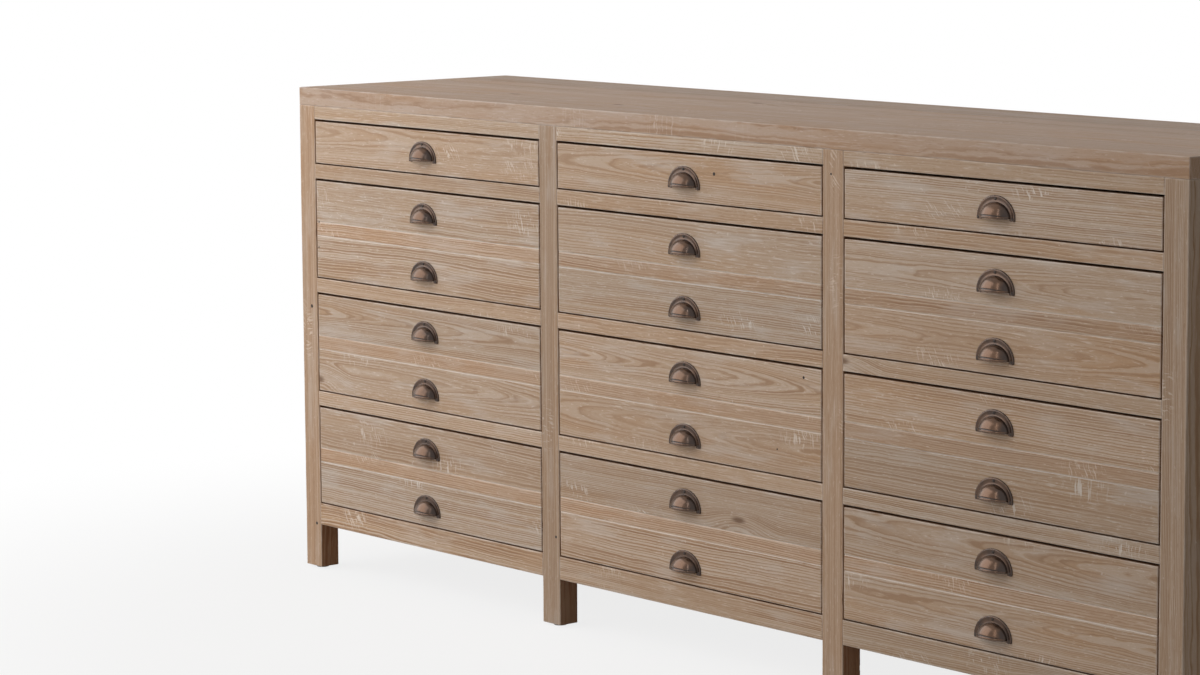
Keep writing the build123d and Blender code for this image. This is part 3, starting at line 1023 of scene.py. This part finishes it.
def add_bowl(metal, origin, reach):
    """The bowl: a shell swept round the rim line, with a groove near its lip."""
    rows = []
    wears = []
    for number in range(ARCH_STEPS + 1):
        arch = arch_angle(number, BOWL_START)
        row = []
        wear = []
        for wall, turns in ((0.0, BOWL_TURNS), (BOWL_WALL, BOWL_TURNS[::-1])):
            for degrees in turns:
                turn = math.radians(degrees)
                groove = degrees in GROOVE_TURNS and not wall
                inset = wall + (GROOVE_DEPTH if groove else 0.0)
                x = (BOWL_HALF - inset) * math.cos(arch)
                y = -(reach - BEAD_PROUD - inset) * math.sin(arch) * math.sin(turn)
                z = (BOWL_RISE - inset) * math.sin(arch) * math.cos(turn)
                row.append(origin + Vector((x, y, z)))
                crown = math.sin(arch) ** 2.0 * (ROOT_WEAR + LIP_WEAR * math.sin(turn))
                wear.append(0.0 if wall else GROOVE_WEAR if groove else crown)
        rows.append(row)
        wears.append(wear)
    metal.loft(rows, wears)


def add_bead(metal, origin, reach):
    """The bead along the bowl's lip."""
    half = BOWL_HALF - RIM_BEAD
    depth = reach - RIM_BEAD
    rows = []
    for number in range(ARCH_STEPS + 1):
        arch = arch_angle(number, BEAD_START)
        spine = Vector((half * math.cos(arch), -depth * math.sin(arch), RIM_BEAD))
        outward = Vector((math.cos(arch) / half, -math.sin(arch) / depth, 0)).normalized()
        row = []
        for side in range(BEAD_SIDES):
            angle = math.tau * side / BEAD_SIDES
            offset = outward * math.cos(angle) + Vector((0, 0, 1)) * math.sin(angle)
            row.append(origin + spine + offset * RIM_BEAD)
        rows.append(row)
    metal.loft(rows, [[BEAD_WEAR] * BEAD_SIDES] * len(rows))


def flange_lines(half, rise):
    """Lines across the flange, from ear to ear: two ends, share taken off each, share of height."""
    ear = []
    for drop, narrow, height in EAR_ROWS:
        level = -EAR_DROP * drop
        ear.append((Vector((EAR_INNER, 0, level)), Vector((half, 0, level)), narrow, height))
    lines = list(ear)
    inner_half = BOWL_HALF - FLANGE_OVERLAP
    inner_rise = BOWL_RISE - FLANGE_OVERLAP
    for number in range(ARCH_STEPS + 1):
        arch = math.pi * number / ARCH_STEPS
        inner = Vector((inner_half * math.cos(arch), 0, inner_rise * math.sin(arch)))
        outer = Vector((half * math.cos(arch), 0, rise * math.sin(arch)))
        lines.append((inner, outer, 0.0, 1.0))
    flip = Vector((-1, 1, 1))
    for inner, outer, narrow, height in reversed(ear):
        lines.append((inner * flip, outer * flip, narrow, height))
    return lines


def add_flange(metal, origin, half, rise):
    """The arched plate round the bowl, with a raised border, and an ear at each end."""
    rows = []
    wears = []
    for inner, outer, narrow, line_height in flange_lines(half, rise):
        row = []
        wear = []
        for share, height in FLANGE_SHARES:
            place = inner.lerp(outer, narrow + share * (1 - 2 * narrow))
            row.append(origin + place + proud(FLANGE_HEIGHT * height * line_height))
            wear.append(FLANGE_WEAR if 0 < share < 1 else 0.0)
        rows.append(row)
        wears.append(wear)
    metal.loft(rows, wears)


def add_screw(metal, place, turn):
    """A slotted screw head, domed, with its slot turned by an angle."""
    metal.head(place, SCREW_RADIUS, SCREW_CROWN, SCREW_PROFILE, IRON_SLOT)
    along = Vector((math.cos(turn), 0, math.sin(turn)))
    aside = Vector((-math.sin(turn), 0, math.cos(turn)))
    side = aside * SLOT_WIDTH / 2
    rows = []
    for end in SLOT_PLACES:
        top = SCREW_CROWN * (SLOT_TOP - SLOT_FALL * abs(end) ** 2)
        middle = place + along * SCREW_RADIUS * end
        lower = middle - side
        upper = middle + side
        lift = proud(top)
        base = proud(top * SLOT_BASE)
        rows.append([lower + base, upper + base, upper + lift, lower + lift])
    metal.loft(rows, slot=IRON_SLOT)


def make_pulls(place, bronze, iron):
    """The cup pulls of one drawer, each with its three screws."""
    draw = random.Random(f"pulls {place}")
    metal = MetalMesh()
    for low, high in island_boxes(f"drawer_pulls_{place}"):
        # Narrow solids are the pins behind the pulls, which don't show
        if high.x - low.x < 2 * BOWL_HALF:
            continue
        half = (high.x - low.x) / 2
        origin = Vector(((low.x + high.x) / 2, high.y, low.z + EAR_DROP))
        rise = high.z - origin.z
        add_flange(metal, origin, half, rise)
        add_bowl(metal, origin, high.y - low.y)
        add_bead(metal, origin, high.y - low.y)
        ear_x = (half + BOWL_HALF) / 2
        spots = ((0, (rise + BOWL_RISE) / 2), (-ear_x, -SCREW_DROP), (ear_x, -SCREW_DROP))
        for x, z in spots:
            seat = origin + Vector((x, -FLANGE_HEIGHT * SCREW_SEAT, z))
            add_screw(metal, seat, draw.uniform(0, math.pi))
    return metal.to_object(f"cup_pulls_{place}", [bronze, iron])


def make_marks(iron):
    """Low domed heads on the boards that carry them, gathered by body."""
    heads = {}
    for node, x, z, radius in MARKS:
        body = node.replace("_front", "") if node.startswith("drawer") else "carcass"
        place = Vector((x * MM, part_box(node)[0].y, z * MM))
        metal = heads.setdefault(body, MetalMesh())
        metal.head(place, radius * MM, MARK_CROWN, MARK_PROFILE, MAIN_SLOT)
    for body in sorted(heads):
        piece = heads[body].to_object(f"nail_heads_{body}", [iron])
        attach(piece, body)


def make_small_parts(steel, plastic):
    """Screws under the top and glides under the legs keep their CAD shape."""
    for node, material in (("top_screws", steel), ("foot_glides", plastic)):
        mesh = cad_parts[node].data
        mesh.materials.clear()
        mesh.materials.append(material)


def floor_material():
    """A matt pale floor. To the camera it fades to white, and keeps the object's shadow near it."""
    g = Graph(bpy.data.materials.new("pale_floor"))
    length = g.node("VectorMath", {0: g.object_place()}, operation="LENGTH")
    colour, other = FLOOR_COLOURS
    tone = g.cover(g.object_noise(*FLOOR_MOTTLE), screen_colour(colour), other)
    matt = g.node("BsdfDiffuse", {"Color": tone})
    white = g.node("Emission", {"Color": WHITE, "Strength": 1.0})
    share = g.product(g.seen_rays(), g.step(length.outputs["Value"], *FLOOR_FADE))
    return g.finish(g.shader_mix(share, matt, white))


def make_floor():
    """One wide flat face under the chest."""
    mesh = bpy.data.meshes.new("floor")
    corners = [(x * FLOOR_REACH, y * FLOOR_REACH, 0) for x, y in ((-1, -1), (1, -1), (1, 1), (-1, 1))]
    mesh.from_pydata(corners, [], [(0, 1, 2, 3)])
    mesh.materials.append(floor_material())
    floor = placed("floor", mesh)


def make_world():
    """An even pale surround, which the camera and polished metal see as white."""
    g = Graph(bpy.data.worlds.new("studio"))
    ambient = g.node("Background", {"Color": AMBIENT_COLOUR, "Strength": AMBIENT})
    white = g.node("Background", {"Color": WHITE, "Strength": 1.0})
    both = g.shader_mix(g.seen_rays(), ambient, white)
    bpy.context.scene.world = g.finish(both, "OutputWorld")


def make_lamp(name, place, target, size, watts, colour):
    """A rectangular lamp that points at a target."""
    lamp = bpy.data.lights.new(name, "AREA")
    lamp.shape = "RECTANGLE"
    lamp.size, lamp.size_y = size
    lamp.energy = watts
    lamp.color = colour
    made = placed(name, lamp)
    made.location = place
    made.rotation_euler = (Vector(target) - Vector(place)).to_track_quat("-Z", "Y").to_euler()


def make_camera():
    """The photograph's view: the camera stands to the right, a little above the top."""
    corner_low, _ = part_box("front_post_left")
    _, corner_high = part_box("top_planks")
    corner = Vector((corner_low.x, corner_low.y, corner_high.z))
    yaw, pitch, roll = [math.radians(angle) for angle in CAMERA_TURNS]
    ahead = Vector((-math.sin(yaw) * math.cos(pitch), math.cos(yaw) * math.cos(pitch), -math.sin(pitch)))
    level = Vector((math.cos(yaw), math.sin(yaw), 0))
    rising = level.cross(ahead)
    right = level * math.cos(roll) + rising * math.sin(roll)
    up = rising * math.cos(roll) - level * math.sin(roll)
    data = bpy.data.cameras.new("photograph_view")
    data.sensor_fit = "HORIZONTAL"
    data.sensor_width = SENSOR_WIDTH
    data.lens = SENSOR_WIDTH * FOCAL_PIXELS / IMAGE_WIDTH
    data.clip_end = CLIP_END
    camera = placed("photograph_view", data)
    turn = Matrix((right, up, -ahead)).transposed().to_4x4()
    camera.matrix_world = Matrix.Translation(corner + CAMERA_FROM_CORNER) @ turn
    bpy.context.scene.camera = camera


def main():
    """Materials, then the pieces of the chest, then the studio."""
    bpy.context.scene.view_settings.view_transform = "Standard"
    pine = limed_pine("limed_pine", *LIMED_PINE)
    top_pine = limed_pine("limed_pine_top", *TOP_PINE)
    plain = limed_pine("plain_pine", *PLAIN_PINE)
    bronze = worn_bronze("worn_bronze")
    iron = speckled("dark_iron", *IRON_COLOURS, roughness=0.7, metallic=0.2)
    steel = speckled("plain_steel", *STEEL_COLOURS, roughness=0.4, metallic=1.0)
    plastic = speckled("glide_plastic", *PLASTIC_COLOURS, roughness=0.6, metallic=0.0)

    posts = make_posts(pine)
    make_top(top_pine)
    make_rails(posts, pine)
    make_panels(pine, plain)
    make_inner_works(plain)
    make_drawers(pine, plain, bronze, iron)
    make_marks(iron)
    make_small_parts(steel, plastic)

    make_floor()
    make_world()
    for lamp in LAMPS:
        make_lamp(*lamp)
    make_camera()


main()
